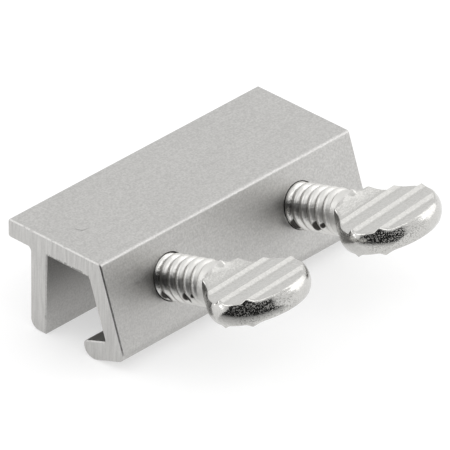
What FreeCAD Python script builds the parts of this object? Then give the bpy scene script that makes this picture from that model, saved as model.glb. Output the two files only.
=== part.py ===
import FreeCAD, Part
import math
import os

import Sketcher

# Clamp-on lock for a sliding door track: a sawn length of aluminium channel that
# hangs over the track's upright rail, and two spade-headed thumbscrews that pinch
# the rail against the channel's straight back leg.
# Frame: +X along the channel, +Y to the back, +Z up. The origin is the middle of
# the rail seat, which is the underside of the web between the two legs.
# Lengths in millimetres, angles in degrees.

SIZES = [
    # the sawn length and the extruded section
    ("body_length", 34.925),
    ("end_edge_break", 0.12),
    ("channel_width", 5.56),
    ("web_thickness", 2.02),
    ("web_front_round", 0.35),
    ("channel_front_round", 0.35),
    # straight back leg and the flange that overhangs it
    ("back_leg_root", 2.2),
    ("back_leg_tip", 2.0),
    ("back_foot_round", 1.1),
    ("flange_overhang", 3.02),
    ("flange_round", 0.35),
    ("flange_root_round", 0.4),
    # slanted front leg and its hooked lip
    ("leg_slant", 19.5),
    ("front_leg_thickness", 2.1),
    ("front_face_length", 10.1),
    ("front_foot_round", 1.0),
    ("lip_thickness", 2.02),
    ("lip_reach", 3.27),
    ("lip_root_round", 0.25),
    ("lip_top_round", 0.6),
    ("lip_nose_radius", 1.3),
    # screw holes through the front leg
    ("hole_inset", 8.35),
    ("hole_drop", 4.55),
    ("screw_rise", 15.75),
    ("hole_clearance", 0.075),
    ("hole_overrun", 1.4),
    # thumbscrews: number ten body, with the shank at the thread's outer size
    ("thread_major", 4.7),
    ("thread_length", 9.3),
    ("tip_chamfer", 0.5),
    ("left_exposed", 6.55),
    ("right_exposed", 6.8),
    # oval spade head, with a throat and a neck that run into the shank
    ("left_head_turn", 2.6),
    ("right_head_turn", 4.0),
    ("head_width", 11.1),
    ("head_height", 9.18),
    ("head_side_share", 0.9),
    ("head_thickness", 2.31),
    ("head_gap", 0.64),
    ("rim_inset", 0.36),
    ("rim_depth", 0.95),
    ("throat_width", 5.0),
    ("throat_far_width", 8.0),
    ("throat_length", 2.6),
    ("throat_gap", 0.1),
    ("neck_root_diameter", 4.3),
    ("neck_end_width", 5.8),
    ("neck_end_height", 2.1),
    ("neck_length", 2.35),
    # finger ribs on both faces of the spade
    ("rib_pitch", 2.6),
    ("rib_shift", 0.3),
    ("rib_radius", 0.7),
    ("rib_height", 0.35),
    ("rib_end_margin", 1.1),
]

EDGE_TOLERANCE = 1e-4
CUT_VOLUME_SHARE = 0.5

doc = FreeCAD.newDocument("TrackLock")


def make_sheet():
    """Spreadsheet with one named row for each driving dimension."""
    sheet = doc.addObject("Spreadsheet::Sheet", "Sizes")
    for row, (alias, value) in enumerate(SIZES, start=1):
        sheet.set(f"A{row}", alias)
        sheet.set(f"B{row}", str(value))
        sheet.setAlias(f"B{row}", alias)
    doc.recompute()
    return sheet


sheet = make_sheet()


def size(alias):
    """Value of a named size as a plain number."""
    return float(sheet.get(alias))


def cell(formula):
    """Expression text in which each size's name is tied to its sheet row."""
    words = []
    word = ""
    for mark in formula + " ":
        if mark.isalnum() or mark == "_":
            word += mark
            continue
        words.append(f"Sizes.{word}" if word in ALIASES else word)
        words.append(mark)
        word = ""
    return "".join(words).strip()


ALIASES = {alias for alias, _ in SIZES}

# Where the sharp top front corner would lie, across the channel and up.
FRONT_CORNER_Y = (
    "(web_thickness * tan(leg_slant) - channel_width / 2"
    " - front_leg_thickness / cos(leg_slant))"
)
FRONT_CORNER_Z = "web_thickness"

# Lowest point of the lip's nose, which the straight back leg reaches down to as well.
FOOT_DEPTH = (
    "((front_face_length - lip_nose_radius) * cos(leg_slant)"
    " + (front_leg_thickness + lip_reach - lip_nose_radius) * sin(leg_slant)"
    " + lip_nose_radius - web_thickness)"
)

# Middle of each screw hole where it opens in the front face.
HOLE_Y = f"({FRONT_CORNER_Y} - hole_drop * sin(leg_slant))"
HOLE_Z = f"({FRONT_CORNER_Z} - hole_drop * cos(leg_slant))"
HOLE_X = "(body_length / 2 - hole_inset)"


def new_body(label):
    """Empty body whose label is also the name of its file."""
    body = doc.addObject("PartDesign::Body", label)
    body.Label = label
    return body


def plane_of(body, role):
    """One of the body's own origin planes or axes."""
    return next(item for item in body.Origin.OriginFeatures if item.Role == role)


def sketch_on(body, role, name):
    """Sketch lying flat on one of the body's own origin planes."""
    sketch = body.newObject("Sketcher::SketchObject", name)
    sketch.AttachmentSupport = [(plane_of(body, role), "")]
    sketch.MapMode = "FlatFace"
    return sketch


def add_outline(sketch, points):
    """Closed run of straight lines through the points, joined end to end."""
    count = len(points)
    for index, start in enumerate(points):
        end = points[(index + 1) % count]
        line = Part.LineSegment(FreeCAD.Vector(*start, 0), FreeCAD.Vector(*end, 0))
        sketch.addGeometry(line, False)
    for index in range(count):
        after = (index + 1) % count
        sketch.addConstraint(Sketcher.Constraint("Coincident", index, 2, after, 1))


def constrain(sketch, name, formula, *arguments, start=None):
    """Dimension in the sketch, named and tied to the sheet; start is its drawn value."""
    value = size(formula) if start is None else start
    index = sketch.addConstraint(Sketcher.Constraint(*arguments, value))
    sketch.renameConstraint(index, name)
    sketch.setExpression(f"Constraints.{name}", cell(formula))


def bind(item, **formulas):
    """Ties properties of a feature to the sheet."""
    for path, formula in formulas.items():
        item.setExpression(path.replace("__", "."), cell(formula))


def edges_through(shape, points):
    """Names of the edges along X that pass through the given (y, z) corners."""
    names = []
    for index, edge in enumerate(shape.Edges, start=1):
        ends = [vertex.Point for vertex in edge.Vertexes]
        if len(ends) != 2 or abs(ends[0].x - ends[1].x) < EDGE_TOLERANCE:
            continue
        for y, z in points:
            if all(math.hypot(p.y - y, p.z - z) < EDGE_TOLERANCE for p in ends):
                names.append(f"Edge{index}")
    return names


def round_corners(body, name, radius, points):
    """Rounds the channel's corner lines at the given (y, z) points."""
    base = body.Tip
    fillet = body.newObject("PartDesign::Fillet", name)
    fillet.Base = (base, edges_through(base.Shape, points))
    bind(fillet, Radius=radius)
    doc.recompute()


def cut_checked(feature, volume_before):
    """Stops the build if a cutting feature took nothing away."""
    if feature.Shape.Volume > volume_before - CUT_VOLUME_SHARE:
        raise RuntimeError(f"{feature.Label} cuts nothing")


# Corners of the section, in order round it from the flange's top back corner.
FLANGE_TOP, FRONT_TOP, FOOT_OUTER, LIP_UNDER, LIP_TOP, LIP_ROOT = range(6)
CHANNEL_FRONT, CHANNEL_BACK, BACK_FOOT_INNER, BACK_FOOT_OUTER, FLANGE_ROOT, FLANGE_LOW = range(6, 12)

# Each side of the section is named for the corner that it starts from.
TOP, FRONT_FACE, LIP_UNDERSIDE, LIP_TIP, LIP_UPPER, FRONT_INNER = range(6)
RAIL_SEAT, BACK_INNER, BACK_FOOT, BACK_OUTER, FLANGE_UNDERSIDE, FLANGE_END = range(6, 12)

# Sketch references: the sketch's own axes and its origin.
AXIS_LINES = {"X": -1, "Y": -2}
ORIGIN_POINT = (-1, 1)


def section_corners():
    """Sharp corners of the channel's section as (y, z), worked out from the sizes."""
    slant = math.radians(size("leg_slant"))
    down = (-math.sin(slant), -math.cos(slant))
    inward = (math.cos(slant), -math.sin(slant))
    half = size("channel_width") / 2
    web = size("web_thickness")
    wall = size("front_leg_thickness")
    face = size("front_face_length")
    lip = size("lip_thickness")
    tip = wall + size("lip_reach")
    nose = size("lip_nose_radius")
    outer = half + size("back_leg_root")
    back = outer + size("flange_overhang")
    corner = (web * math.tan(slant) - half - wall / math.cos(slant), web)
    foot = web - (face - nose) * math.cos(slant) - (tip - nose) * math.sin(slant) - nose

    def on_leg(along, across):
        return (
            corner[0] + along * down[0] + across * inward[0],
            corner[1] + along * down[1] + across * inward[1],
        )

    return [
        (back, web),
        corner,
        on_leg(face, 0),
        on_leg(face, tip),
        on_leg(face - lip, tip),
        on_leg(face - lip, wall),
        (-half, 0),
        (half, 0),
        (outer - size("back_leg_tip"), foot),
        (outer, foot),
        (outer, 0),
        (back, 0),
    ]


def draw_section(body):
    """Sketch of the channel's section with sharp corners, fully tied to the sheet."""
    sketch = sketch_on(body, "YZ_Plane", "ChannelSection")
    corners = section_corners()
    add_outline(sketch, corners)
    for side in (TOP, BACK_FOOT, FLANGE_UNDERSIDE):
        sketch.addConstraint(Sketcher.Constraint("Horizontal", side))
    for side in (BACK_OUTER, FLANGE_END):
        sketch.addConstraint(Sketcher.Constraint("Vertical", side))
    sketch.addConstraint(
        Sketcher.Constraint("Symmetric", RAIL_SEAT, 1, RAIL_SEAT, 2, *ORIGIN_POINT)
    )
    sketch.addConstraint(Sketcher.Constraint("Horizontal", RAIL_SEAT))
    on_seat_level = Sketcher.Constraint("PointOnObject", FLANGE_UNDERSIDE, 1, AXIS_LINES["X"])
    sketch.addConstraint(on_seat_level)
    for side in (FRONT_INNER, LIP_TIP):
        sketch.addConstraint(Sketcher.Constraint("Parallel", FRONT_FACE, side))
    for side in (LIP_UNDERSIDE, LIP_UPPER):
        sketch.addConstraint(Sketcher.Constraint("Perpendicular", FRONT_FACE, side))
    constrain(sketch, "ChannelWidth", "channel_width", "Distance", RAIL_SEAT)
    constrain(sketch, "WebThickness", "web_thickness", "Distance", FLANGE_END)
    constrain(sketch, "Overhang", "flange_overhang", "Distance", FLANGE_UNDERSIDE)
    constrain(sketch, "BackTip", "back_leg_tip", "Distance", BACK_FOOT)
    constrain(
        sketch, "BackRoot", "back_leg_root", "DistanceX", RAIL_SEAT, 2, FLANGE_UNDERSIDE, 1
    )
    constrain(
        sketch,
        "FootDepth",
        FOOT_DEPTH,
        "DistanceY",
        BACK_FOOT,
        2,
        FLANGE_UNDERSIDE,
        1,
        start=-corners[BACK_FOOT_OUTER][1],
    )
    constrain(
        sketch, "FrontWall", "front_leg_thickness", "Distance", RAIL_SEAT, 1, FRONT_FACE
    )
    constrain(sketch, "FrontFace", "front_face_length", "Distance", FRONT_FACE)
    constrain(sketch, "LipThickness", "lip_thickness", "Distance", LIP_TIP)
    constrain(sketch, "LipReach", "lip_reach", "Distance", LIP_UPPER)
    steepness = math.radians(90 - size("leg_slant"))
    constrain(
        sketch, "Slant", "(90 - leg_slant) * 1 deg", "Angle", FRONT_INNER, start=steepness
    )
    doc.recompute()
    return sketch


def make_lock_body():
    """Sawn length of the channel, its corners rounded as the die leaves them."""
    body = new_body("lock_body")
    section = draw_section(body)
    pad = body.newObject("PartDesign::Pad", "Extrusion")
    pad.Profile = section
    pad.Midplane = True
    bind(pad, Length="body_length")
    doc.recompute()

    corners = section_corners()
    for name, radius, marks in (
        ("FlangeRounds", "flange_round", (FLANGE_TOP, FLANGE_LOW)),
        ("FlangeRoot", "flange_root_round", (FLANGE_ROOT,)),
        ("WebFrontRound", "web_front_round", (FRONT_TOP,)),
        ("ChannelFrontRound", "channel_front_round", (CHANNEL_FRONT,)),
        ("BackFootRound", "back_foot_round", (BACK_FOOT_OUTER,)),
        ("FrontFootRound", "front_foot_round", (FOOT_OUTER,)),
        ("LipRootRound", "lip_root_round", (LIP_ROOT,)),
        ("LipTopRound", "lip_top_round", (LIP_TOP,)),
        ("LipNose", "lip_nose_radius", (LIP_UNDER,)),
    ):
        round_corners(body, name, radius, [corners[mark] for mark in marks])

    break_end_edges(body)
    drill_screw_holes(body)
    return body


def break_end_edges(body):
    """Takes the burr off both sawn ends with one small chamfer all round."""
    base = body.Tip
    half = size("body_length") / 2
    names = []
    for index, edge in enumerate(base.Shape.Edges, start=1):
        box = edge.BoundBox
        if min(abs(box.XMin - half), abs(box.XMax + half)) < EDGE_TOLERANCE:
            names.append(f"Edge{index}")
    chamfer = body.newObject("PartDesign::Chamfer", "EndEdges")
    chamfer.Base = (base, names)
    bind(chamfer, Size="end_edge_break")
    doc.recompute()


def drill_screw_holes(body):
    """Two plain holes at the thread's size through the front leg, on the screws' own axes."""
    sketch = sketch_on(body, "XZ_Plane", "HolePlan")
    sketch.AttachmentOffset = FreeCAD.Placement(
        FreeCAD.Vector(0, 0, 0), FreeCAD.Rotation(FreeCAD.Vector(-1, 0, 0), size("screw_rise"))
    )
    bind(
        sketch,
        AttachmentOffset__Base__y=HOLE_Z,
        AttachmentOffset__Base__z=f"-{HOLE_Y}",
        AttachmentOffset__Rotation__Angle="screw_rise",
    )
    radius = size("thread_major") / 2 + size("hole_clearance")
    inset = size("body_length") / 2 - size("hole_inset")
    for side, x in enumerate((-inset, inset)):
        circle = Part.Circle(FreeCAD.Vector(x, 0, 0), FreeCAD.Vector(0, 0, 1), radius)
        sketch.addGeometry(circle, False)
        sketch.addConstraint(Sketcher.Constraint("PointOnObject", side, 3, AXIS_LINES["X"]))
        constrain(
            sketch,
            f"Radius{side}",
            "thread_major / 2 + hole_clearance",
            "Radius",
            side,
            start=radius,
        )
    constrain(sketch, "LeftPlace", HOLE_X, "DistanceX", 0, 3, *ORIGIN_POINT, start=inset)
    constrain(sketch, "RightPlace", HOLE_X, "DistanceX", *ORIGIN_POINT, 1, 3, start=inset)
    doc.recompute()
    before = body.Shape.Volume
    pocket = body.newObject("PartDesign::Pocket", "ScrewHoles")
    pocket.Profile = sketch
    pocket.Midplane = True
    bind(pocket, Length="2 * (front_leg_thickness + hole_overrun)")
    doc.recompute()
    cut_checked(pocket, before)


def turn_shank(body):
    """Turned shank from its chamfered tip at the local origin up to the thread's end."""
    sketch = sketch_on(body, "XZ_Plane", "ShankProfile")
    radius = size("thread_major") / 2
    chamfer = size("tip_chamfer")
    length = size("thread_length")
    add_outline(
        sketch,
        [(0, 0), (radius - chamfer, 0), (radius, chamfer), (radius, length), (0, length)],
    )
    tip, bevel, side, shoulder, axis = range(5)
    sketch.addConstraint(Sketcher.Constraint("Coincident", tip, 1, *ORIGIN_POINT))
    for line in (tip, shoulder):
        sketch.addConstraint(Sketcher.Constraint("Horizontal", line))
    for line in (side, axis):
        sketch.addConstraint(Sketcher.Constraint("Vertical", line))
    for name, formula, start, *ends in (
        ("TipRadius", "thread_major / 2 - tip_chamfer", radius - chamfer, "Distance", tip),
        ("TipChamfer", "tip_chamfer", chamfer, "DistanceY", bevel, 1, bevel, 2),
        ("Radius", "thread_major / 2", radius, "DistanceX", *ORIGIN_POINT, side, 1),
        ("Length", "thread_length", length, "DistanceY", *ORIGIN_POINT, side, 2),
    ):
        constrain(sketch, name, formula, *ends, start=start)
    doc.recompute()
    shank = body.newObject("PartDesign::Revolution", "Shank")
    shank.Profile = sketch
    shank.ReferenceAxis = (sketch, ["V_Axis"])
    shank.Angle = 360
    doc.recompute()


def section_across(body, name, distance):
    """Empty sketch square to the screw, at a distance from the screw's tip."""
    sketch = sketch_on(body, "XY_Plane", name)
    bind(sketch, AttachmentOffset__Base__z=distance)
    doc.recompute()
    return sketch


def loft_neck(body):
    """Neck that starts round at the thread's end and flattens out into the spade."""
    root = section_across(body, "NeckRoot", "thread_length")
    radius = size("neck_root_diameter") / 2
    middle, up = FreeCAD.Vector(0, 0, 0), FreeCAD.Vector(0, 0, 1)
    root.addGeometry(Part.Circle(middle, up, radius), False)
    root.addConstraint(Sketcher.Constraint("Coincident", 0, 3, *ORIGIN_POINT))
    constrain(root, "Radius", "neck_root_diameter / 2", "Radius", 0, start=radius)

    end = section_across(body, "NeckEnd", "thread_length + neck_length")
    wide = FreeCAD.Vector(size("neck_end_width") / 2, 0, 0)
    tall = FreeCAD.Vector(0, size("neck_end_height") / 2, 0)
    end.addGeometry(Part.Ellipse(wide, tall, middle), False)
    oval = 0
    end.exposeInternalGeometry(oval)
    long_axis, short_axis = 1, 2
    end.addConstraint(Sketcher.Constraint("Coincident", oval, 3, *ORIGIN_POINT))
    end.addConstraint(Sketcher.Constraint("Horizontal", long_axis))
    constrain(end, "Width", "neck_end_width", "Distance", long_axis)
    constrain(end, "Height", "neck_end_height", "Distance", short_axis)
    doc.recompute()

    neck = body.newObject("PartDesign::AdditiveLoft", "Neck")
    neck.Profile = root
    neck.Sections = [end]
    doc.recompute()


# Middle of the spade, measured along the screw from its tip.
HEAD_CENTRE = "(thread_length + head_gap + head_height / 2)"

# Radii of the spade's two side arcs and of the two long arcs that join them without a corner.
HEAD_SIDE_RADIUS = "(head_side_share * head_height / 2)"
HEAD_LONG_RADIUS = (
    f"((pow(head_width / 2, 2) + pow(head_height / 2, 2) - head_width * {HEAD_SIDE_RADIUS})"
    f" / (head_height - 2 * {HEAD_SIDE_RADIUS}))"
)


def head_sizes():
    """Half width, half height, middle, side and long arc radii of the spade's outline."""
    wide = size("head_width") / 2
    tall = size("head_height") / 2
    middle = size("thread_length") + size("head_gap") + tall
    side = size("head_side_share") * tall
    long_arc = (wide**2 + tall**2 - 2 * wide * side) / (2 * (tall - side))
    return wide, tall, middle, side, long_arc


def draw_head_outline(body):
    """Oval of four arcs that run into each other, drawn in the screw's own XZ plane."""
    sketch = sketch_on(body, "XZ_Plane", "HeadOutline")
    wide, tall, middle, side, long_arc = head_sizes()
    reach = wide - side
    drop = long_arc - tall
    lean = math.atan2(drop, reach)
    up = FreeCAD.Vector(0, 0, 1)
    for x, z, radius, first, last in (
        (reach, middle, side, -lean, lean),
        (0, middle - drop, long_arc, lean, math.pi - lean),
        (-reach, middle, side, math.pi - lean, math.pi + lean),
        (0, middle + drop, long_arc, math.pi + lean, 2 * math.pi - lean),
    ):
        circle = Part.Circle(FreeCAD.Vector(x, z, 0), up, radius)
        sketch.addGeometry(Part.ArcOfCircle(circle, first, last), False)
    right, top, left, bottom = range(4)
    for arc in (right, top, left, bottom):
        sketch.addConstraint(Sketcher.Constraint("Tangent", arc, 2, (arc + 1) % 4, 1))
    for arc in (top, bottom):
        sketch.addConstraint(Sketcher.Constraint("PointOnObject", arc, 3, AXIS_LINES["Y"]))
    sketch.addConstraint(Sketcher.Constraint("Equal", right, left))
    sketch.addConstraint(Sketcher.Constraint("Equal", top, bottom))
    constrain(sketch, "SideRadius", HEAD_SIDE_RADIUS, "Radius", right, start=side)
    constrain(sketch, "LongRadius", HEAD_LONG_RADIUS, "Radius", top, start=long_arc)
    half_span = f"head_width / 2 - {HEAD_SIDE_RADIUS}"
    constrain(
        sketch, "SideReach", half_span, "DistanceX", *ORIGIN_POINT, right, 3, start=reach
    )
    constrain(
        sketch, "Centre", HEAD_CENTRE, "DistanceY", *ORIGIN_POINT, right, 3, start=middle
    )
    doc.recompute()
    return sketch


def pad_evenly(body, sketch, name):
    """Pads a sketch of the head to the spade's thickness, half to each side."""
    pad = body.newObject("PartDesign::Pad", name)
    pad.Profile = sketch
    pad.Midplane = True
    bind(pad, Length="head_thickness")
    doc.recompute()


def draw_throat(body):
    """Flare from the thread's end into the spade, in the screw's XZ plane."""
    sketch = sketch_on(body, "XZ_Plane", "ThroatOutline")
    near = size("throat_width") / 2
    far = size("throat_far_width") / 2
    start = size("thread_length") + size("throat_gap")
    end = start + size("throat_length")
    add_outline(sketch, [(-near, start), (near, start), (far, end), (-far, end)])
    low, _, high, _ = range(4)
    for line in (low, high):
        sketch.addConstraint(Sketcher.Constraint("Horizontal", line))
    gap = "thread_length + throat_gap"
    reach = "thread_length + throat_gap + throat_length"
    for name, formula, value, *ends in (
        ("NearRight", "throat_width / 2", near, "DistanceX", *ORIGIN_POINT, low, 2),
        ("NearLeft", "throat_width / 2", near, "DistanceX", low, 1, *ORIGIN_POINT),
        ("FarRight", "throat_far_width / 2", far, "DistanceX", *ORIGIN_POINT, high, 1),
        ("FarLeft", "throat_far_width / 2", far, "DistanceX", high, 2, *ORIGIN_POINT),
        ("Start", gap, start, "DistanceY", *ORIGIN_POINT, low, 2),
        ("End", reach, end, "DistanceY", *ORIGIN_POINT, high, 1),
    ):
        constrain(sketch, name, formula, *ends, start=value)
    doc.recompute()
    return sketch


def add_spade(body):
    """Flat oval head and its throat, with a rim that swells to its middle on both sides."""
    pad_evenly(body, draw_head_outline(body), "Spade")
    pad_evenly(body, draw_throat(body), "Throat")
    base = body.Tip
    level = size("head_thickness") / 2
    names = []
    for index, edge in enumerate(base.Shape.Edges, start=1):
        box = edge.BoundBox
        for face in (-level, level):
            if max(abs(box.YMax - face), abs(box.YMin - face)) < EDGE_TOLERANCE:
                names.append(f"Edge{index}")
    rim = body.newObject("PartDesign::Chamfer", "Rim")
    rim.Base = (base, names)
    rim.ChamferType = "Two distances"
    rim.FlipDirection = True
    bind(rim, Size="rim_inset", Size2="rim_depth")
    doc.recompute()


def add_ribs(body):
    """Three round-topped ribs turned into one face of the spade, mirrored to the other."""
    wide, tall, middle, _, _ = head_sizes()
    ribs = []
    for name, place in (("RibByNeck", -1), ("RibMiddle", 0), ("RibByTip", 1)):
        shift = place * size("rib_pitch") + size("rib_shift")
        radius = size("rib_radius")
        reach = wide * math.sqrt(1 - (shift / tall) ** 2) - size("rib_end_margin")
        sketch = sketch_on(body, "XZ_Plane", f"{name}Profile")
        bind(
            sketch,
            AttachmentOffset__Base__y=f"{HEAD_CENTRE} + {place} * rib_pitch + rib_shift",
            AttachmentOffset__Base__z="head_thickness / 2 + rib_height - rib_radius",
        )
        draw_rib_profile(sketch, reach, radius, place)
        rib = body.newObject("PartDesign::Revolution", name)
        rib.Profile = sketch
        rib.ReferenceAxis = (sketch, ["H_Axis"])
        rib.Angle = 360
        doc.recompute()
        ribs.append(rib)
    mirror = body.newObject("PartDesign::Mirrored", "RibsBelow")
    mirror.Originals = ribs
    mirror.MirrorPlane = (plane_of(body, "XZ_Plane"), [""])
    body.Tip = mirror
    doc.recompute()


def draw_rib_profile(sketch, reach, radius, place):
    """Half of a long bar with cone ends, on the line that it's turned about."""
    end = reach + radius
    add_outline(sketch, [(-end, 0), (end, 0), (reach, radius), (-reach, radius)])
    axis, _, crest, _ = range(4)
    sketch.addConstraint(Sketcher.Constraint("Horizontal", axis))
    sketch.addConstraint(Sketcher.Constraint("Horizontal", crest))
    sketch.addConstraint(Sketcher.Constraint("PointOnObject", axis, 1, AXIS_LINES["X"]))
    offset = f"({place} * rib_pitch + rib_shift)"
    half = (
        f"(head_width / 2 * sqrt(1 - pow({offset} / (head_height / 2), 2))"
        " - rib_end_margin)"
    )
    for name, formula, start, *ends in (
        ("Height", "rib_radius", radius, "DistanceY", axis, 2, crest, 1),
        ("RightCrest", half, reach, "DistanceX", *ORIGIN_POINT, crest, 1),
        ("LeftCrest", half, reach, "DistanceX", crest, 2, *ORIGIN_POINT),
        ("RightEnd", f"{half} + rib_radius", end, "DistanceX", *ORIGIN_POINT, axis, 2),
        ("LeftEnd", f"{half} + rib_radius", end, "DistanceX", axis, 1, *ORIGIN_POINT),
    ):
        constrain(sketch, name, formula, *ends, start=start)


def make_thumbscrew(hand, side):
    """One thumbscrew, made upright on its own axis and then set in its hole."""
    body = new_body(f"thumbscrew_{hand}")
    add_spade(body)
    turn_shank(body)
    loft_neck(body)
    add_ribs(body)
    place_screw(body, hand, side)
    return body


def place_screw(body, hand, side):
    """Sets a screw in its hole: head outwards, tip by the channel, spade turned a little."""
    upright_to_axis = FreeCAD.Rotation(FreeCAD.Vector(1, 0, 0), 90 - size("screw_rise"))
    spade_turn = FreeCAD.Rotation(FreeCAD.Vector(0, 0, 1), size(f"{hand}_head_turn"))
    body.Placement = FreeCAD.Placement(
        FreeCAD.Vector(0, 0, 0), upright_to_axis.multiply(spade_turn)
    )
    sunk = f"(thread_length - {hand}_exposed)"
    bind(
        body,
        Placement__Base__x=f"{side} * {HOLE_X}",
        Placement__Base__y=f"{HOLE_Y} + {sunk} * cos(screw_rise)",
        Placement__Base__z=f"{HOLE_Z} - {sunk} * sin(screw_rise)",
    )
    doc.recompute()


def check_document(bodies):
    """Stops the build if any feature failed or any piece isn't one sound solid."""
    for item in doc.Objects:
        if {"Invalid", "Error"} & set(item.State):
            raise RuntimeError(f"{item.Label} failed: {item.State}")
    for body in bodies:
        shape = body.Shape
        if shape.isNull() or not shape.isValid() or len(shape.Solids) != 1:
            raise RuntimeError(f"{body.Label} isn't one valid solid")


def main():
    bodies = [
        make_lock_body(),
        make_thumbscrew("left", -1),
        make_thumbscrew("right", 1),
    ]
    doc.recompute()
    check_document(bodies)
    os.makedirs("parts", exist_ok=True)
    for body in bodies:
        body.Shape.exportStep(f"parts/{body.Label}.step")
        print(f"{body.Label}: {body.Shape.Volume:.1f} cubic millimetres")


main()
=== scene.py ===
import math

import bmesh
import bpy
import numpy as np
from mathutils import Matrix, Vector


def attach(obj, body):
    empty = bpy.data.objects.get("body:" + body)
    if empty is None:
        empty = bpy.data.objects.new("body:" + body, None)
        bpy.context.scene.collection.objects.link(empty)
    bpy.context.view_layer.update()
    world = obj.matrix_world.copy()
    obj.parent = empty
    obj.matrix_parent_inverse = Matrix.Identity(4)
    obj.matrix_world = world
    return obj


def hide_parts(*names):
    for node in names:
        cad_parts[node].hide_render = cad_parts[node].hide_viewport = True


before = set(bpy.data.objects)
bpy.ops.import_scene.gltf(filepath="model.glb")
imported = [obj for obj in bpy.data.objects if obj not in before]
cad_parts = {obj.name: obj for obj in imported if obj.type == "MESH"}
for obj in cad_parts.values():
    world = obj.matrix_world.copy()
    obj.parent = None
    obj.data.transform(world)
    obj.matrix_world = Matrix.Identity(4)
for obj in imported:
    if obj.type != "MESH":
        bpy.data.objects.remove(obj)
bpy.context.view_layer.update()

# Clamp-on lock for a sliding door's track: an extruded aluminium channel and two plated
# spade-headed thumbscrews. +X along the channel, +Y to the straight back leg, +Z up.
# Sizes are in millimetres and angles in degrees unless a comment says otherwise.
MM = 0.001

# Channel sizes that place the screws, the same as the solids' own; angles in radians.
BODY_LENGTH = 34.925
CHANNEL_WIDTH = 5.56
WEB = 2.02
FRONT_WALL = 2.1
LEG_SLANT = math.radians(19.5)
HOLE_INSET = 8.35
HOLE_DROP = 4.55
SCREW_RISE = math.radians(15.75)
FOOT_LEVEL = -8.934

# The two screws: side of the channel's middle, thread that stands out of the leg, and the
# angle that the head is turned from level.
SCREWS = {"left": (-1, 6.55, 2.6), "right": (1, 6.8, 4.0)}

# Thumbscrew: rolled thread and chamfered tip.
THREAD_LENGTH = 9.3
THREAD_RADIUS = 2.35
THREAD_PITCH = 25.4 / 24
THREAD_DEPTH = 0.44
THREAD_POWER = 2.3
THREAD_END = 8.35
THREAD_FADE = 0.12
PLAIN_CUT = 0.13
TIP_CHAMFER = 0.5

# Thumbscrew: oval spade and its rim. HEAD_JOIN is the oval's angle, in radians, where the
# neck meets it, and RIM_SWELL the rim's, where its small corner starts.
HEAD_HALF_WIDTH = 5.55
HEAD_HALF_HEIGHT = 4.59
HEAD_GAP = 0.64
HEAD_MIDDLE = THREAD_LENGTH + HEAD_GAP + HEAD_HALF_HEIGHT
HEAD_JOIN = -math.acos(0.66)
FACE_HEIGHT = 1.155
RIM_RADIUS = 2.0
CORNER_RADIUS = 0.24
RIM_SWELL = math.asin((FACE_HEIGHT - CORNER_RADIUS) / (RIM_RADIUS - CORNER_RADIUS))
RIM_INSET = RIM_RADIUS - (RIM_RADIUS - CORNER_RADIUS) * math.cos(RIM_SWELL)

# Thumbscrew: neck between the thread and the spade, and the small nub on top of it. The SHANK
# sizes are the flat section that the thread's end starts to turn into.
SHANK_HALF_WIDTH = 2.5
SHANK_FACE = 2.2
NECK_HALF_WIDTH = 2.56
NECK_FLARE = 0.53
NECK_CURL = 0.3
NECK_CURL_START = 0.9
NECK_LIFT_START = 0.3
NECK_TOP = 2.1
NECK_SLOPE = 0.43
NECK_BLEND = 0.12
FLATTEN_BEFORE = 0.15
FLATTEN_AFTER = 0.6
NUB_ACROSS = 0.72
NUB_ALONG = 0.2
NUB_HALF_WIDTH = 0.45
NUB_HALF_LENGTH = 0.38
NUB_HEIGHT = 0.24

# Thumbscrew: finger ribs, and the places over the rim (0 its middle, 1 the face's edge)
# between which they run out, on top and on the underside.
RIB_PITCH = 2.62
RIB_HEIGHT = 0.35
RIB_BACK = 0.5
RIB_FRONT = 0.8
RIB_FALL = 1.6
RIB_OUT_TOP = 0.3
RIB_OUT_BELOW = 0.58
RIB_WHOLE = 1.1

# How finely the screw's grid is divided. Points nearer than MERGE are one point, and edges
# shorter than TINY_EDGE go.
FACE_COLUMNS = 84
RIM_COLUMNS = 18
RIM_SPLIT = 0.55
COARSE_STEP = 0.09
FINE_STEP = 0.046
NECK_STEP = 0.05
HEAD_ROWS = 190
HIDDEN_LENGTH = 2.6
MERGE = 0.0002
TINY_EDGE = 0.0001
CREASE = 38

# Painted dark reflections on the thread: place out from the leg, angle round the screw, half length,
# half angle. Each fades between the next pair's factors times its half sizes. The painted shade
# round the hole, after them, has no edge, and the last value says how dark it is as a share.
PAINTED_REFLECTIONS = ((0.74, 211, 0.6, 22), (3.85, 201, 0.55, 17), (4.75, 194, 0.3, 8))
PAINTED_REFLECTION_FADE = (0.8, 1.1)
HOLE_SHADE = (0.2, 152, 2.8, 22)
HOLE_SHADE_SHARE = 0.5

# Where the rim keeps the forging's coarse grain: over the rim, on from the neck, and from the
# screw's middle to the left. Each pair is where it starts to change and where it ends.
GRAIN_OVER = (0.5, 0.62)
GRAIN_NECK = (1.2, 2.4)
GRAIN_RIGHT = (-0.4, 1.4)
GRAIN_LEFT = (4.6, 5.4)
GRAIN_LOST = 0.8

# Sizes of the finishes' patterns. A pixel is about 0.1 mm, and the real satin and plating are
# finer, so their grain is drawn as coarse as it needs to show. The stretches draw noise out
# along the die's pull and along the saw's stroke.
DIE_LINE = 0.22
DIE_STRETCH = 0.02
SATIN_GRAIN = 0.19
TONE_CLOUD = 5.0
SAW_MARK = 0.17
SAW_STRETCH = 0.07
BURR_GRAIN = 0.45
NICK_GRAIN = 0.9
FORGING_GRAIN = 0.26
FORGING_DENT = 0.9
PLATING_PIT = 0.14

# The part of a normal that lies along the channel: above END_FACING on a sawn end, and above
# EDGE_FACING on the broken edge round it.
END_FACING = 0.95
EDGE_FACING = 0.3

# Small knock in the top face: the point of its V, and the V's angle.
DING_PLACE = (-14.1, 1.35)
DING_TURN = -39

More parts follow.
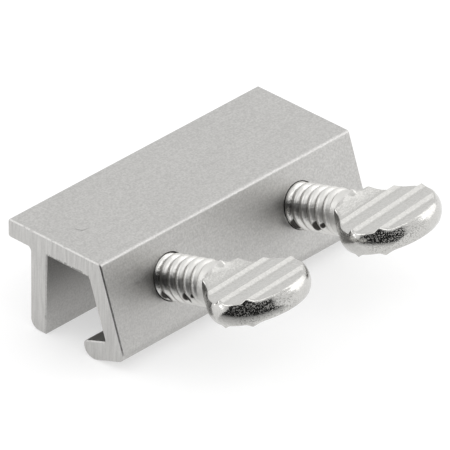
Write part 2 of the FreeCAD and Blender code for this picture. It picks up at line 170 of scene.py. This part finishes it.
# Studio's unlit side, seen in reflections alone: where it's centred in front of the part, how
# far out it starts, is fully dark and stands up, its sweep round and up, and its height over
# the floor. FLOOR_HALF is half the floor's side.
DARK_MIDDLE = -16.0
DARK_NEAR = 16.0
DARK_FULL = 42.0
DARK_FAR = 500.0
DARK_SWEEP = (-108, 2)
DARK_TOP = 44
DARK_LIFT = 0.3
FLOOR_HALF = 900.0

# Soft boxes: azimuth from the front toward +X, elevation above the floor, width and height in
# metres, and brightness next to white's 1. All stand LAMP_DISTANCE metres off.
LAMP_DISTANCE = 0.6
SOFT_BOXES = {
    "high_front": (-15, 60, 0.5, 0.14, 1.1),
    "high_right": (62, 46, 0.25, 0.25, 1.0),
    "high_back_right": (105, 49, 0.3, 0.3, 0.4),
    "back_left": (-139, 38, 0.3, 0.3, 1.2),
    "low_left": (-138, 8, 0.4, 0.15, 1.6),
    "low_right": (66, 18, 0.4, 0.34, 0.85),
    "front_right": (50, 24, 0.2, 0.13, 1.9),
}

# Camera, fitted to the photograph: azimuth, elevation and roll, the point that it looks past,
# its distance from there, its offset to the right and up, and its long lens and sensor.
CAMERA_ANGLES = (-46.966, 31.572, 0.635)
CAMERA_PIVOT = (0, 7.90, 2.02)
CAMERA_DISTANCE = 872.82
CAMERA_OFFSET = (8.7518, -7.1641)
LENS = 720
SENSOR = 36


def linear(code):
    """sRGB hex code to linear red, green, blue and full alpha."""
    parts = [int(code[i:i + 2], 16) / 255 for i in (1, 3, 5)]
    return (*[p / 12.92 if p <= 0.04045 else ((p + 0.055) / 1.055) ** 2.4 for p in parts], 1.0)


def ease(value, low, high):
    """0 below low, 1 above high, and a smooth S between."""
    t = np.clip((value - low) / (high - low), 0, 1)
    return t * t * (3 - 2 * t)


def grid_faces(rows, columns, closed=False):
    """Four-cornered faces between a grid's points, which are numbered row by row. A closed grid
    joins its last column to its first."""
    row = np.arange(rows - 1)[:, None] * columns
    column = np.arange(columns if closed else columns - 1)[None, :]
    after = (column + 1) % columns
    corners = [row + column, row + after, row + columns + after, row + columns + column]
    return np.stack(corners, -1).reshape(-1, 4).tolist()


def make_piece(name, points, faces):
    """Smooth-shaded mesh object at the origin, from points in millimetres."""
    mesh = bpy.data.meshes.new(name)
    mesh.from_pydata((points * MM).tolist(), [], faces)
    mesh.shade_smooth()
    piece = bpy.data.objects.new(name, mesh)
    bpy.context.scene.collection.objects.link(piece)
    return piece


def thread_radius(s, phi):
    """Radius of the rolled thread at s from the tip: a broad round crest that falls ever faster to
    a narrow root, on a right-hand helix. Cut = depth * (distance from the crest's line / half
    pitch) ^ power, where the crest's line is s = pitch * phi / 2 pi. Past THREAD_END the shank is
    plain, and the tip is chamfered at 45 degrees."""
    turn = s / THREAD_PITCH - phi / (2 * math.pi)
    cut = THREAD_DEPTH * (2 * np.abs(turn - np.round(turn))) ** THREAD_POWER
    plain = ease(s, THREAD_END - THREAD_FADE, THREAD_END + THREAD_FADE)
    cut = cut * (1 - plain) + PLAIN_CUT * plain
    return np.minimum(THREAD_RADIUS - cut, THREAD_RADIUS - TIP_CHAMFER + s)


def rib_rise(s, over, up):
    """Height of the ribs over the spade's face: each rises steeply from the neck's side over
    RIB_BACK to its crest, falls away toward the spade's end as (1 - way / RIB_FRONT) ^ RIB_FALL,
    and runs out over the rim, nearer to the rim's middle on top than on the underside."""
    rise = np.zeros(s.shape)
    for place in (-1, 0, 1):
        past = s - HEAD_MIDDLE - place * RIB_PITCH
        front = np.clip(1 - past / RIB_FRONT, 0, 1) ** RIB_FALL
        slope = np.where(past < 0, ease(past, -RIB_BACK, 0), front)
        rise = np.maximum(rise, RIB_HEIGHT * slope)
    return rise * ease(over, np.where(up > 0, RIB_OUT_TOP, RIB_OUT_BELOW), RIB_WHOLE)


def rim_section(over):
    """Inset and rise over the rim, each 0 at its middle and 1 at the face: an arc of RIM_RADIUS up
    to the angle RIM_SWELL, and then a small arc of CORNER_RADIUS that turns into the face."""
    first = np.minimum(over / RIM_SPLIT, 1) * RIM_SWELL
    past = np.clip((over - RIM_SPLIT) / (1 - RIM_SPLIT), 0, 1)
    last = RIM_SWELL + past * (math.pi / 2 - RIM_SWELL)
    inset = RIM_RADIUS * (1 - np.cos(first)) + CORNER_RADIUS * (math.cos(RIM_SWELL) - np.cos(last))
    rise = RIM_RADIUS * np.sin(first) + CORNER_RADIUS * (np.sin(last) - math.sin(RIM_SWELL))
    return inset / RIM_INSET, rise / FACE_HEIGHT


def screw_rows():
    """Rows from the tip to the spade's end: place along the screw at the rim's middle and at the
    face's edge, half widths there, half height, and flatness (0 round, 1 flat). The oval is
    half width * cos, half height * sin of an angle. The neck's half width flares in a straight
    line and then as a square, to a small shoulder on the oval. The half height falls in a straight
    line that runs smoothly into the face: face + (drop + root of (drop ^ 2 + blend ^ 2)) / 2."""
    coarse = np.arange(0, HIDDEN_LENGTH, COARSE_STEP)
    shank = np.append(coarse, np.arange(HIDDEN_LENGTH, THREAD_LENGTH, FINE_STEP))

    join = HEAD_MIDDLE + HEAD_HALF_HEIGHT * math.sin(HEAD_JOIN)
    span = join - THREAD_LENGTH
    past = np.arange(THREAD_LENGTH, join, NECK_STEP) - THREAD_LENGTH
    curl = np.clip((past - NECK_CURL_START) / (span - NECK_CURL_START), 0, 1) ** 2
    neck = NECK_HALF_WIDTH + NECK_FLARE * past + NECK_CURL * curl
    lift = -RIM_INSET * math.sin(HEAD_JOIN) * ease(past, NECK_LIFT_START, span)

    angle = np.linspace(HEAD_JOIN, math.pi / 2, HEAD_ROWS)
    oval = HEAD_MIDDLE + HEAD_HALF_HEIGHT * np.sin(angle)
    oval_face = HEAD_MIDDLE + (HEAD_HALF_HEIGHT - RIM_INSET) * np.sin(angle)
    oval_width = HEAD_HALF_WIDTH * np.cos(angle)
    oval_flat = (HEAD_HALF_WIDTH - RIM_INSET) * np.cos(angle)

    mid = np.concatenate([shank, past + THREAD_LENGTH, oval])
    edge = np.concatenate([shank, past + THREAD_LENGTH + lift, oval_face])
    width = np.concatenate([np.full(len(shank), SHANK_HALF_WIDTH), neck, oval_width])
    flat = np.concatenate([np.full(len(shank), SHANK_FACE), neck - RIM_INSET, oval_flat])
    drop = NECK_TOP - NECK_SLOPE * (edge - THREAD_LENGTH) - FACE_HEIGHT
    height = FACE_HEIGHT + (drop + np.sqrt(drop ** 2 + NECK_BLEND ** 2)) / 2
    flatness = ease(mid, THREAD_LENGTH - FLATTEN_BEFORE, THREAD_LENGTH + FLATTEN_AFTER)
    return [row[:, None] for row in (mid, edge, width, flat, height, flatness)]


def screw_columns():
    """Columns round the screw from the right-hand rim over the top: place over the rim (0 its
    middle, 1 the face's edge), place across the face (-1 to 1), side (1 top, -1 underside), and
    the round section's angle."""
    rim = np.arange(RIM_COLUMNS) / RIM_COLUMNS
    face = np.arange(FACE_COLUMNS) / FACE_COLUMNS
    over = np.concatenate([rim, np.ones(FACE_COLUMNS), 1 - rim])
    across = np.concatenate([np.ones(RIM_COLUMNS), 1 - 2 * face, -np.ones(RIM_COLUMNS)])
    up = np.repeat([1.0, -1.0], len(over))
    phi = np.linspace(0, 2 * math.pi, len(up), endpoint=False)
    return [column[None, :] for column in (np.tile(over, 2), np.append(across, -across), up, phi)]


def screw_skin(rows, columns):
    """Each point's place across, up and along the screw, and its round section's radius: a mix of
    the round section (the thread) and a flat section (the spade) by the row's flatness, plus the
    neck's nub, height * exp(-(distance / half size) ^ 2), on the upper side."""
    mid, edge, width, flat, height, flatness = rows
    over, across, up, phi = columns
    inset, rise = rim_section(over)
    s_flat = mid + (edge - mid) * inset
    x_flat = across * (width + (flat - width) * inset)
    y_flat = up * (rise * height + rib_rise(s_flat, over, up))

    radius = thread_radius(mid, phi)
    x = (1 - flatness) * radius * np.cos(phi) + flatness * x_flat
    y = (1 - flatness) * radius * np.sin(phi) + flatness * y_flat
    s = (1 - flatness) * mid + flatness * s_flat
    along = s - THREAD_LENGTH - NUB_ALONG
    far = np.hypot((x - NUB_ACROSS) / NUB_HALF_WIDTH, along / NUB_HALF_LENGTH)
    y = y + NUB_HEIGHT * np.exp(-far ** 2) * (y > 0)
    return x, y, s, radius


def screw_masks(rows, columns, x, radius, exposed):
    """What the plating reads at each point, from 0 to 1: root is low in the thread, where dirt and
    painted shade darken it; then the painted dark reflections on the thread and the painted shade
    round the hole, exp(-(distance / half size) ^ 2); shank the rolled part, worn the shank outside
    the leg, and rim the rim's coarse grain."""
    mid, flatness = rows[0], rows[-1]
    over, degrees = columns[0], np.degrees(columns[-1])
    out = mid - THREAD_LENGTH + exposed

    root = ease(THREAD_RADIUS - radius, 0.5 * THREAD_DEPTH, THREAD_DEPTH) * (1 - flatness)
    # Painted shade round the hole, then the painted dark reflections on the thread.
    place, angle, length, spread = HOLE_SHADE
    hole_shade = np.exp(-((out - place) / length) ** 2 - ((degrees - angle) / spread) ** 2)
    painted_shade_and_reflection = HOLE_SHADE_SHARE * hole_shade
    for place, angle, length, spread in PAINTED_REFLECTIONS:
        far = np.hypot((out - place) / length, (degrees - angle) / spread)
        painted_shade_and_reflection = np.maximum(painted_shade_and_reflection, 1 - ease(far, *PAINTED_REFLECTION_FADE))
    shank = np.broadcast_to(1 - flatness, x.shape)
    worn = shank * ease(out, 0, exposed)
    rim = flatness * (1 - ease(over, *GRAIN_OVER)) * ease(mid - THREAD_LENGTH, *GRAIN_NECK)
    rim = rim * (1 - GRAIN_LOST * ease(x, *GRAIN_RIGHT)) * (1 - ease(-x, *GRAIN_LEFT))
    return {"root": root, "painted_shade_and_reflection": painted_shade_and_reflection, "shank": shank, "worn": worn, "rim": rim}


def screw_place(local, side, exposed, turn):
    """The screw's own points (across, up, along from the tip) turned and moved into its hole."""
    tilt = Matrix.Rotation(math.pi / 2 - SCREW_RISE, 3, "X")
    tilt = tilt @ Matrix.Rotation(math.radians(turn), 3, "Z")
    corner = WEB * math.tan(LEG_SLANT) - CHANNEL_WIDTH / 2 - FRONT_WALL / math.cos(LEG_SLANT)
    sunk = THREAD_LENGTH - exposed
    tip = np.array([
        side * (BODY_LENGTH / 2 - HOLE_INSET),
        corner - HOLE_DROP * math.sin(LEG_SLANT) + sunk * math.cos(SCREW_RISE),
        WEB - HOLE_DROP * math.cos(LEG_SLANT) - sunk * math.sin(SCREW_RISE),
    ])
    return local @ np.array(tilt).T + tip


def close_seams(piece):
    """Merges the points that meet at the spade's end, so that the skin is closed, and turns all
    faces outward."""
    work = bmesh.new()
    work.from_mesh(piece.data)
    bmesh.ops.remove_doubles(work, verts=work.verts, dist=MERGE * MM)
    bmesh.ops.dissolve_degenerate(work, edges=work.edges, dist=TINY_EDGE * MM)
    bmesh.ops.recalc_face_normals(work, faces=work.faces)
    work.to_mesh(piece.data)
    work.free()


def thumbscrew(name, side, exposed, turn):
    """One thumbscrew as a single closed skin: a grid with rows along the screw and columns round
    it, and one point that closes the tip."""
    rows = screw_rows()
    columns = screw_columns()
    x, y, s, radius = screw_skin(rows, columns)
    local = np.append(np.stack([x, y, s], -1).reshape(-1, 3), [[0.0, 0.0, 0.0]], axis=0)
    around = x.shape[1]
    tip_faces = [(x.size, (column + 1) % around, column) for column in range(around)]
    faces = grid_faces(*x.shape, closed=True) + tip_faces
    screw = make_piece(name, screw_place(local, side, exposed, turn), faces)
    for key, values in screw_masks(rows, columns, x, radius, exposed).items():
        layer = screw.data.attributes.new(key, "FLOAT", "POINT")
        layer.data.foreach_set("value", np.append(values, 0.0))
    close_seams(screw)
    screw.data.set_sharp_from_angle(angle=math.radians(CREASE))
    return screw


def add(tree, kind, inputs=None, **settings):
    """Adds a node with its settings; each input is a value or another node's output."""
    node = tree.nodes.new(kind)
    for key, value in settings.items():
        setattr(node, key, value)
    for key, value in (inputs or {}).items():
        if isinstance(value, bpy.types.NodeSocket):
            tree.links.new(value, node.inputs[key])
        else:
            node.inputs[key].default_value = value
    return node


def empty_tree(owner):
    """Node tree of a new material or world, with nothing in it yet."""
    owner.use_nodes = True
    owner.node_tree.nodes.clear()
    return owner.node_tree


def new_metal(name):
    """Material with one metal shader, its tree and the shader."""
    material = bpy.data.materials.new(name)
    tree = empty_tree(material)
    shader = add(tree, "ShaderNodeBsdfPrincipled", {"Metallic": 1.0})
    add(tree, "ShaderNodeOutputMaterial", {"Surface": shader.outputs["BSDF"]})
    return material, tree, shader


def per_mm(size):
    """Noise scale that gives grains of about this many millimetres."""
    return 1 / (size * MM)


def extruded_aluminium():
    """Mill-finish aluminium extrusion, etched to a fine satin: a quiet pale grey with faint lines
    along the die's pull and a fine speckle, and sawn ends with upright blade marks."""
    material, tree, shader = new_metal("aluminium_extruded_satin")
    where = add(tree, "ShaderNodeTexCoord")
    spot = where.outputs["Object"]
    normal = add(tree, "ShaderNodeSeparateXYZ", {"Vector": where.outputs["Normal"]})
    facing = add(tree, "ShaderNodeMath", {0: normal.outputs["X"]}, operation="ABSOLUTE")
    is_end = add(
        tree, "ShaderNodeMath", {0: facing.outputs[0], 1: END_FACING}, operation="GREATER_THAN"
    )

    # Speckle everywhere, mixed with die lines along the channel or upright saw marks on the ends.
    pull = add(tree, "ShaderNodeMapping", {"Vector": spot, "Scale": (DIE_STRETCH, 1, 1)})
    lines = add(
        tree,
        "ShaderNodeTexNoise",
        {"Vector": pull.outputs[0], "Scale": per_mm(DIE_LINE), "Detail": 3.0},
    )
    blade = add(tree, "ShaderNodeMapping", {"Vector": spot, "Scale": (1, 1, SAW_STRETCH)})
    saw = add(
        tree,
        "ShaderNodeTexNoise",
        {"Vector": blade.outputs[0], "Scale": per_mm(SAW_MARK), "Detail": 3.0},
    )
    grain = add(
        tree, "ShaderNodeTexNoise", {"Vector": spot, "Scale": per_mm(SATIN_GRAIN), "Detail": 3.0}
    )
    cloud = add(
        tree, "ShaderNodeTexNoise", {"Vector": spot, "Scale": per_mm(TONE_CLOUD), "Detail": 3.0}
    )
    marks = add(
        tree,
        "ShaderNodeMix",
        {"Factor": is_end.outputs[0], "A": lines.outputs[0], "B": saw.outputs[0]},
    )
    share = add(
        tree, "ShaderNodeMapRange", {"Value": is_end.outputs[0], "To Min": 0.85, "To Max": 0.35}
    )
    mixed = add(
        tree,
        "ShaderNodeMix",
        {"Factor": share.outputs[0], "A": marks.outputs[0], "B": grain.outputs[0]},
    )

    # Colour: two greys close together, painted shade in the knock, and darker where the face is
    # burred or nicked.
    clear = add(
        tree, "ShaderNodeMapRange", {"Value": mixed.outputs[0], "From Min": 0.35, "From Max": 0.65}
    )
    shade = add(
        tree, "ShaderNodeMix", {"Factor": 0.2, "A": clear.outputs[0], "B": cloud.outputs[0]}
    )
    tone = add(
        tree,
        "ShaderNodeMix",
        {"Factor": shade.outputs[0], "A": linear("#B0AFAD"), "B": linear("#CBCAC8")},
        data_type="RGBA",
    )
    ding = small_ding(tree, spot, normal)
    # Painted shade in the knock: half its depth darkens the colour.
    painted_knock_shade = add(tree, "ShaderNodeMath", {0: ding, 1: 0.5}, operation="MULTIPLY")
    burr = slot_burr(tree, spot, is_end)
    nicks = edge_nicks(tree, spot, facing)
    for depth, colour in (
        (painted_knock_shade.outputs[0], "#7A7A78"),
        (burr, "#6A6A68"),
        (nicks, "#8A8A88"),
    ):
        tone = add(
            tree,
            "ShaderNodeMix",
            {"Factor": depth, "A": tone.outputs[2], "B": linear(colour)},
            data_type="RGBA",
        )
    tree.links.new(tone.outputs[2], shader.inputs["Base Color"])

    # Satin gloss that the grain varies, and relief: the grain, then the nicks and the knock.
    rough = add(
        tree,
        "ShaderNodeMapRange",
        {"Value": grain.outputs[0], "From Min": 0.3, "From Max": 0.7, "To Min": 0.38, "To Max": 0.48},
    )
    tree.links.new(rough.outputs[0], shader.inputs["Roughness"])
    bump = add(
        tree,
        "ShaderNodeBump",
        {"Height": mixed.outputs[0], "Strength": 0.45, "Distance": 0.02 * MM},
    )
    for depth, deepest in ((nicks, 0.03), (ding, 0.02)):
        bump = add(
            tree,
            "ShaderNodeBump",
            {"Height": depth, "Strength": 1.0, "Distance": deepest * MM, "Normal": bump.outputs[0]},
            invert=True,
        )
    tree.links.new(bump.outputs[0], shader.inputs["Normal"])
    return material


def slot_burr(tree, spot, is_end):
    """Ragged shade of the burr that the saw left along the slot's top on the end faces: it lies
    where the distance from the rail seat's level is less than a width that noise sets."""
    noise = add(
        tree, "ShaderNodeTexNoise", {"Vector": spot, "Scale": per_mm(BURR_GRAIN), "Detail": 2.0}
    )
    reach = add(
        tree,
        "ShaderNodeMapRange",
        {
            "Value": noise.outputs[0],
            "From Min": 0.36,
            "From Max": 0.64,
            "To Min": 0.13 * MM,
            "To Max": 0.36 * MM,
        },
    )
    place = add(tree, "ShaderNodeSeparateXYZ", {"Vector": spot})
    near = add(
        tree,
        "ShaderNodeMath",
        {0: place.outputs["Z"], 1: 0.0, 2: reach.outputs[0]},
        operation="COMPARE",
    )
    side = add(tree, "ShaderNodeMath", {0: place.outputs["Y"]}, operation="ABSOLUTE")
    inside = add(
        tree,
        "ShaderNodeMath",
        {0: side.outputs[0], 1: (CHANNEL_WIDTH / 2 + 0.05) * MM},
        operation="LESS_THAN",
    )
    burr = near
    for share in (inside.outputs[0], is_end.outputs[0], 0.6):
        burr = add(tree, "ShaderNodeMath", {0: burr.outputs[0], 1: share}, operation="MULTIPLY")
    return burr.outputs[0]


def edge_nicks(tree, spot, facing):
    """Depth of the saw's nicks along the broken edges of the ends, which are the faces whose normal
    lies between the channel's line and its sides: patches of noise there, 0 elsewhere."""
    noise = add(
        tree, "ShaderNodeTexNoise", {"Vector": spot, "Scale": per_mm(NICK_GRAIN), "Detail": 4.0}
    )
    patch = add(
        tree,
        "ShaderNodeMapRange",
        {"Value": noise.outputs[0], "From Min": 0.61, "From Max": 0.72, "To Max": 0.7},
    )
    least = add(
        tree, "ShaderNodeMath", {0: facing.outputs[0], 1: EDGE_FACING}, operation="GREATER_THAN"
    )
    most = add(
        tree, "ShaderNodeMath", {0: facing.outputs[0], 1: END_FACING}, operation="LESS_THAN"
    )
    nicks = least
    for share in (most, patch):
        nicks = add(
            tree, "ShaderNodeMath", {0: nicks.outputs[0], 1: share.outputs[0]}, operation="MULTIPLY"
        )
    return nicks.outputs[0]


def small_ding(tree, spot, normal):
    """Depth of one small V-shaped knock in the top face near the sawn end: 1 along two short arms
    that meet at the V's point, where the distance from the arm is |y - 0.5 |x||, 0 elsewhere.
    The arms are about 0.2 mm wide and run out 0.45 to 0.75 mm from the point."""
    place = add(
        tree,
        "ShaderNodeMapping",
        {
            "Vector": spot,
            "Location": (DING_PLACE[0] * MM, DING_PLACE[1] * MM, 0),
            "Rotation": (0, 0, math.radians(DING_TURN)),
            "Scale": (MM, MM, MM),
        },
        vector_type="TEXTURE",
    )
    local = add(tree, "ShaderNodeSeparateXYZ", {"Vector": place.outputs[0]})
    side = add(tree, "ShaderNodeMath", {0: local.outputs["X"]}, operation="ABSOLUTE")
    arm = add(tree, "ShaderNodeMath", {0: side.outputs[0], 1: 0.5}, operation="MULTIPLY")
    off = add(
        tree, "ShaderNodeMath", {0: local.outputs["Y"], 1: arm.outputs[0]}, operation="SUBTRACT"
    )
    off = add(tree, "ShaderNodeMath", {0: off.outputs[0]}, operation="ABSOLUTE")
    line = add(
        tree,
        "ShaderNodeMapRange",
        {"Value": off.outputs[0], "From Min": 0.03, "From Max": 0.14, "To Min": 1.0, "To Max": 0.0},
        interpolation_type="SMOOTHSTEP",
    )
    end = add(
        tree,
        "ShaderNodeMapRange",
        {"Value": side.outputs[0], "From Min": 0.45, "From Max": 0.75, "To Min": 1.0, "To Max": 0.0},
    )
    top = add(
        tree, "ShaderNodeMath", {0: normal.outputs["Z"], 1: 0.9}, operation="GREATER_THAN"
    )
    knock = line
    for share in (end, top):
        knock = add(
            tree, "ShaderNodeMath", {0: knock.outputs[0], 1: share.outputs[0]}, operation="MULTIPLY"
        )
    return knock.outputs[0]


def plated_steel():
    """Forged steel with a bright nickel plating: nearly a mirror, with the forging's fine grain
    still under it, so that reflections break up into speckle at their borders."""
    material, tree, shader = new_metal("steel_forged_bright_plated")
    where = add(tree, "ShaderNodeTexCoord")
    spot = where.outputs["Object"]
    root, painted_shade_and_reflection, shank, worn, rim = [
        add(tree, "ShaderNodeAttribute", attribute_name=key).outputs["Fac"]
        for key in ("root", "painted_shade_and_reflection", "shank", "worn", "rim")
    ]
    grain, dents, pits = [
        add(tree, "ShaderNodeTexNoise", {"Vector": spot, "Scale": per_mm(size), "Detail": detail})
        for size, detail in ((FORGING_GRAIN, 2.0), (FORGING_DENT, 2.0), (PLATING_PIT, 1.0))
    ]

    # Colour: the plating's own, a little paler on the shank, and dark in the thread: dirt and painted
    # shade in its roots, and painted dark reflections and painted shade near the hole.
    soil_and_painted_shade = add(tree, "ShaderNodeMath", {0: root, 1: 0.9}, operation="MULTIPLY")
    soil_and_painted_shade = add(tree, "ShaderNodeMath", {0: soil_and_painted_shade.outputs[0], 1: painted_shade_and_reflection}, operation="MAXIMUM")
    tone = add(
        tree,
        "ShaderNodeMix",
        {"Factor": grain.outputs[0], "A": linear("#B6B5B2"), "B": linear("#D2D1CE")},
        data_type="RGBA",
    )
    # The dark colour is dirt together with painted shade and painted dark reflections.
    for share, colour in ((shank, "#DDDCD9"), (soil_and_painted_shade.outputs[0], "#3C3A38")):
        tone = add(
            tree,
            "ShaderNodeMix",
            {"Factor": share, "A": tone.outputs[2], "B": linear(colour)},
            data_type="RGBA",
        )
    tree.links.new(tone.outputs[2], shader.inputs["Base Color"])

    # Gloss: dull specks, dullest on the rim, and a rolled shank that is duller where it's worn.
    worst = add(tree, "ShaderNodeMapRange", {"Value": rim, "To Min": 0.26, "To Max": 0.72})
    rough = add(
        tree,
        "ShaderNodeMapRange",
        {
            "Value": pits.outputs[0],
            "From Min": 0.52,
            "From Max": 0.62,
            "To Min": 0.14,
            "To Max": worst.outputs[0],
        },
    )
    rolled = add(tree, "ShaderNodeMath", {0: shank, 1: 0.27}, operation="MULTIPLY")
    rolled = add(
        tree, "ShaderNodeMath", {0: worn, 1: 0.22, 2: rolled.outputs[0]}, operation="MULTIPLY_ADD"
    )
    rough = add(
        tree, "ShaderNodeMath", {0: rough.outputs[0], 1: rolled.outputs[0]}, operation="MAXIMUM"
    )
    tree.links.new(rough.outputs[0], shader.inputs["Roughness"])

    # Relief: the forging's fine grain, and its shallow dents over that.
    depth = add(tree, "ShaderNodeMapRange", {"Value": shank, "To Min": 0.32, "To Max": 0.9})
    bump = add(
        tree,
        "ShaderNodeBump",
        {"Height": grain.outputs[0], "Strength": depth.outputs[0], "Distance": 0.03 * MM},
    )
    bump = add(
        tree,
        "ShaderNodeBump",
        {
            "Height": dents.outputs[0],
            "Strength": 0.3,
            "Distance": 0.05 * MM,
            "Normal": bump.outputs[0],
        },
    )
    tree.links.new(bump.outputs[0], shader.inputs["Normal"])
    return material


def dress(piece, material):
    """Gives the piece one material on all its faces."""
    piece.data.materials.clear()
    piece.data.materials.append(material)


# Studio: a white floor that keeps the soft shadow, white surroundings, seven soft boxes, and
# the unlit side of the room behind the camera, which shows only in the metals' reflections.

def white_surroundings():
    """World of even white, so a colour renders about as it's written."""
    world = bpy.data.worlds.new("studio_white")
    bpy.context.scene.world = world
    tree = empty_tree(world)
    sky = add(tree, "ShaderNodeBackground", {"Color": linear("#FFFFFF"), "Strength": 1.0})
    add(tree, "ShaderNodeOutputWorld", {"Surface": sky.outputs[0]})


def studio_floor():
    """Plain white sheet under the feet; it adds a little glow of its own where it's looked at."""
    corners = np.array([[-1, -1], [1, -1], [1, 1], [-1, 1]]) * FLOOR_HALF
    points = np.insert(corners, 2, FOOT_LEVEL, axis=1)
    floor = make_piece("studio_floor", points, [[0, 1, 2, 3]])
    material = bpy.data.materials.new("paper_white_matt")
    tree = empty_tree(material)
    paper = add(tree, "ShaderNodeBsdfDiffuse", {"Color": linear("#BEBEBE")})
    ray = add(tree, "ShaderNodeLightPath")
    seen = ray.outputs["Is Camera Ray"]
    for kind in ("Is Glossy Ray", "Is Transmission Ray"):
        either = add(
            tree, "ShaderNodeMath", {0: seen, 1: ray.outputs[kind]}, operation="MAXIMUM"
        )
        seen = either.outputs[0]
    share = add(tree, "ShaderNodeMath", {0: seen, 1: 0.5}, operation="MULTIPLY")
    glow = add(tree, "ShaderNodeEmission", {"Strength": share.outputs[0]})
    both = add(tree, "ShaderNodeAddShader", {0: paper.outputs[0], 1: glow.outputs[0]})
    add(tree, "ShaderNodeOutputMaterial", {"Surface": both.outputs[0]})
    dress(floor, material)


def dark_room():
    """Unlit side of the room round the camera: a sheet that starts flat on the floor near the
    part, runs out along azimuth's arc, and curves up to a dome: radius, then elevation, carried
    along azimuth."""
    azimuth = np.radians(np.linspace(*DARK_SWEEP, 30))[None, :]
    along = np.linspace(0, 1, 9)[:-1]
    rise = np.radians(np.linspace(0, DARK_TOP, 9))
    flat_way = DARK_NEAR + (DARK_FAR - DARK_NEAR) * along
    outward = np.append(flat_way, DARK_FAR * np.cos(rise))[:, None]
    height = np.append(0 * along, DARK_FAR * np.sin(rise))[:, None]
    x = outward * np.sin(azimuth)
    y = DARK_MIDDLE - outward * np.cos(azimuth)
    z = np.broadcast_to(height + FOOT_LEVEL + DARK_LIFT, x.shape)
    points = np.stack([x, y, z], -1).reshape(-1, 3)
    screen = make_piece("studio_dark_side", points, grid_faces(*x.shape))
    # Painted shade of the unlit room: an emission, near white next to the part and near black farther
    # out, seen in reflections alone.
    material = bpy.data.materials.new("unlit_side_painted_shade")
    tree = empty_tree(material)
    where = add(tree, "ShaderNodeTexCoord")
    far = add(
        tree,
        "ShaderNodeVectorMath",
        {0: where.outputs["Object"], 1: (0, DARK_MIDDLE * MM, FOOT_LEVEL * MM)},
        operation="DISTANCE",
    )
    light = add(
        tree,
        "ShaderNodeMapRange",
        {
            "Value": far.outputs["Value"],
            "From Min": DARK_NEAR * MM,
            "From Max": DARK_FULL * MM,
            "To Min": 0.9,
            "To Max": 0.02,
        },
    )
    unlit_shade = add(tree, "ShaderNodeEmission", {"Strength": light.outputs[0]})
    add(tree, "ShaderNodeOutputMaterial", {"Surface": unlit_shade.outputs[0]})
    dress(screen, material)
    screen.visible_camera = False
    screen.visible_diffuse = False
    screen.visible_shadow = False


def direction(azimuth, elevation):
    """Unit vector from the part toward an azimuth and an elevation, in radians."""
    level = math.cos(elevation)
    return Vector((math.sin(azimuth) * level, -math.cos(azimuth) * level, math.sin(elevation)))


def soft_box(name, azimuth, elevation, width, height, level):
    """Soft box that faces the part, and is as bright as level says next to white."""
    data = bpy.data.lights.new(name, "AREA")
    data.shape = "RECTANGLE"
    data.size = width
    data.size_y = height
    data.energy = level * math.pi * width * height
    lamp = bpy.data.objects.new(name, data)
    way = direction(math.radians(azimuth), math.radians(elevation))
    lamp.location = way * LAMP_DISTANCE
    lamp.rotation_euler = way.to_track_quat("Z", "Y").to_euler()
    bpy.context.scene.collection.objects.link(lamp)


def camera():
    """Long lens at the photograph's viewing angle and framing."""
    azimuth, elevation, roll = [math.radians(angle) for angle in CAMERA_ANGLES]
    back = direction(azimuth, elevation)
    level = Vector((math.cos(azimuth), math.sin(azimuth), 0))
    upright = back.cross(level)
    right = level * math.cos(roll) + upright * math.sin(roll)
    up = upright * math.cos(roll) - level * math.sin(roll)
    data = bpy.data.cameras.new("long_lens")
    data.sensor_width = SENSOR
    data.lens = LENS
    data.clip_start = 0.05
    data.clip_end = 10
    lens = bpy.data.objects.new("long_lens", data)
    aside = right * CAMERA_OFFSET[0] + up * CAMERA_OFFSET[1]
    spot = (Vector(CAMERA_PIVOT) + back * CAMERA_DISTANCE + aside) * MM
    lens.matrix_world = Matrix.Translation(spot) @ Matrix((right, up, back)).transposed().to_4x4()
    bpy.context.scene.collection.objects.link(lens)
    bpy.context.scene.camera = lens


def main():
    """Sets up the studio and the camera, finishes the channel, and makes both screws."""
    bpy.context.scene.view_settings.view_transform = "Standard"
    white_surroundings()
    studio_floor()
    dark_room()
    for place, values in SOFT_BOXES.items():
        soft_box(f"soft_box_{place}", *values)
    camera()

    dress(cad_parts["lock_body"], extruded_aluminium())
    plating = plated_steel()
    for hand, (side, exposed, turn) in SCREWS.items():
        screw = thumbscrew(f"thumbscrew_{hand}_plated", side, exposed, turn)
        dress(screw, plating)
        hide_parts(f"thumbscrew_{hand}")
        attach(screw, f"{hand}_screw")


main()
